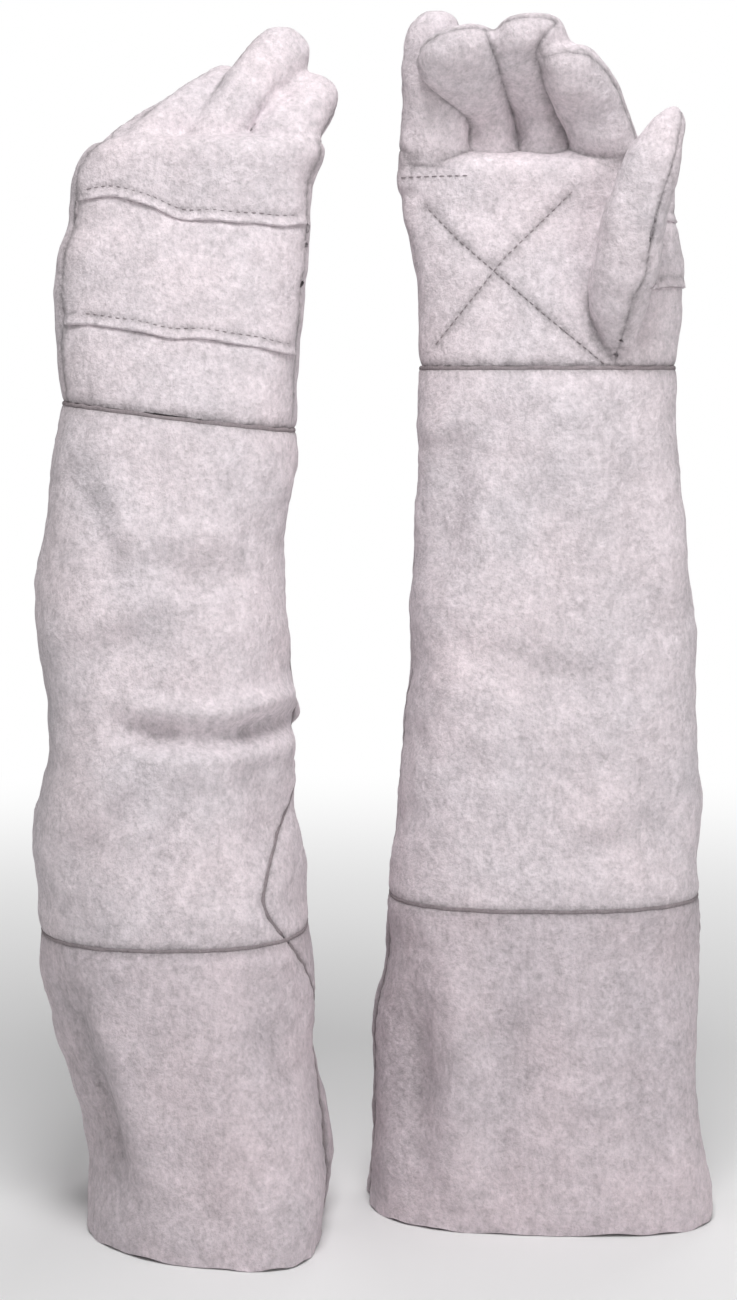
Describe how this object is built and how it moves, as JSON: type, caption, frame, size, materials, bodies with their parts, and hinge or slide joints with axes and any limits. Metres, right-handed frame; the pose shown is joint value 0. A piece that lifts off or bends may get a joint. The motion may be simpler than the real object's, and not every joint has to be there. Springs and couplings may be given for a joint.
{
  "type": "cryogenic gloves",
  "caption": "Pair of elbow-length suede gauntlets for cryogenic work, standing on their open cuffs, with palm quilting, back patch, seam welts, felt lining, and flexing wrists and digits.",
  "frame": {"origin": "centre of the pair's footprint, on the surface the cuffs stand on", "axes": "+X from the left-hand glove to the right-hand glove, +Y to the rear, +Z from the cuffs to the fingertips; the left glove shows its back to -Y, the right glove its palm"},
  "size_m": [0.3579, 0.176, 0.6271],
  "materials": {
    "suede": "napped split suede",
    "cuff_suede": "napped split suede, a little darker",
    "welt_suede": "folded suede strip",
    "felt": "needled felt",
    "thread": "twisted sewing thread"
  },
  "bodies": {
    "right_sleeve": {"right_lower_sleeve_palm_side": "cuff_suede", "right_lower_sleeve_back_side": "cuff_suede", "right_upper_sleeve_palm_side": "suede", "right_upper_sleeve_back_side": "suede", "right_sleeve_lining": "felt", "right_sleeve_seam_welt": "welt_suede", "right_wrist_seam_welt": "welt_suede", "right_side_seam_welts": "welt_suede"},
    "right_hand": {"right_wrist_band": "suede", "right_palm_panel": "suede", "right_back_panel": "suede", "right_knuckle_band": "suede", "right_back_patch": "suede", "right_hand_lining": "felt", "right_stitching": "thread"},
    "right_little": {"right_little_palm_side": "suede", "right_little_back_side": "suede", "right_little_lining": "felt"},
    "right_ring": {"right_ring_palm_side": "suede", "right_ring_back_side": "suede", "right_ring_lining": "felt"},
    "right_middle": {"right_middle_palm_side": "suede", "right_middle_back_side": "suede", "right_middle_lining": "felt"},
    "right_index": {"right_index_palm_side": "suede", "right_index_back_side": "suede", "right_index_lining": "felt"},
    "right_thumb": {"right_thumb_palm_side": "suede", "right_thumb_back_side": "suede", "right_thumb_lining": "felt"},
    "left_sleeve": {"left_lower_sleeve_palm_side": "cuff_suede", "left_lower_sleeve_back_side": "cuff_suede", "left_upper_sleeve_palm_side": "suede", "left_upper_sleeve_back_side": "suede", "left_sleeve_lining": "felt", "left_sleeve_seam_welt": "welt_suede", "left_wrist_seam_welt": "welt_suede", "left_side_seam_welts": "welt_suede"},
    "left_hand": {"left_wrist_band": "suede", "left_palm_panel": "suede", "left_back_panel": "suede", "left_knuckle_band": "suede", "left_back_patch": "suede", "left_hand_lining": "felt", "left_stitching": "thread"},
    "left_little": {"left_little_palm_side": "suede", "left_little_back_side": "suede", "left_little_lining": "felt"},
    "left_ring": {"left_ring_palm_side": "suede", "left_ring_back_side": "suede", "left_ring_lining": "felt"},
    "left_middle": {"left_middle_palm_side": "suede", "left_middle_back_side": "suede", "left_middle_lining": "felt"},
    "left_index": {"left_index_palm_side": "suede", "left_index_back_side": "suede", "left_index_lining": "felt"},
    "left_thumb": {"left_thumb_palm_side": "suede", "left_thumb_back_side": "suede", "left_thumb_lining": "felt"}
  },
  "joints": [
    {"name": "right_glove_lift", "type": "slide", "parent": "left_sleeve", "child": "right_sleeve", "axis": [0, 0, 1], "range_m": [0, 0.12]},
    {"name": "right_wrist_flex", "type": "hinge", "parent": "right_sleeve", "child": "right_hand", "pos_m": [0.09, 0.018, 0.446], "axis": [1, 0, 0], "range_deg": [-22, 22], "deforming": ["right_wrist_band"]},
    {"name": "right_little_flex", "type": "hinge", "parent": "right_hand", "child": "right_little", "pos_m": [0.0275, 0.017, 0.553], "axis": [0.9986, 0, 0.0523], "range_deg": [-18, 25]},
    {"name": "right_ring_flex", "type": "hinge", "parent": "right_hand", "child": "right_ring", "pos_m": [0.062, 0.017, 0.555], "axis": [0.9903, 0, 0.1392], "range_deg": [-20, 30]},
    {"name": "right_middle_flex", "type": "hinge", "parent": "right_hand", "child": "right_middle", "pos_m": [0.093, 0.017, 0.556], "axis": [0.9877, 0, 0.1564], "range_deg": [-20, 30]},
    {"name": "right_index_flex", "type": "hinge", "parent": "right_hand", "child": "right_index", "pos_m": [0.124, 0.017, 0.553], "axis": [0.9848, 0, 0.1736], "range_deg": [-18, 25]},
    {"name": "right_thumb_flex", "type": "hinge", "parent": "right_hand", "child": "right_thumb", "pos_m": [0.132, -0.02, 0.492], "axis": [0.9962, 0, -0.0872], "range_deg": [-2, 32]},
    {"name": "left_wrist_flex", "type": "hinge", "parent": "left_sleeve", "child": "left_hand", "pos_m": [-0.101, 0, 0.421], "axis": [-1, 0, 0], "range_deg": [-22, 22], "deforming": ["left_wrist_band"]},
    {"name": "left_little_flex", "type": "hinge", "parent": "left_hand", "child": "left_little", "pos_m": [-0.137, 0.001, 0.551], "axis": [-0.829, 0, 0.5592], "range_deg": [-18, 25]},
    {"name": "left_ring_flex", "type": "hinge", "parent": "left_hand", "child": "left_ring", "pos_m": [-0.107, 0.001, 0.551], "axis": [-0.829, 0, 0.5592], "range_deg": [-20, 30]},
    {"name": "left_middle_flex", "type": "hinge", "parent": "left_hand", "child": "left_middle", "pos_m": [-0.077, 0.001, 0.551], "axis": [-0.829, 0, 0.5592], "range_deg": [-20, 30]},
    {"name": "left_index_flex", "type": "hinge", "parent": "left_hand", "child": "left_index", "pos_m": [-0.047, 0.001, 0.548], "axis": [-0.829, 0, 0.5592], "range_deg": [-18, 25]},
    {"name": "left_thumb_flex", "type": "hinge", "parent": "left_hand", "child": "left_thumb", "pos_m": [-0.056, 0.038, 0.482], "axis": [-0.9848, 0, 0.1736], "range_deg": [-2, 32]}
  ]
}
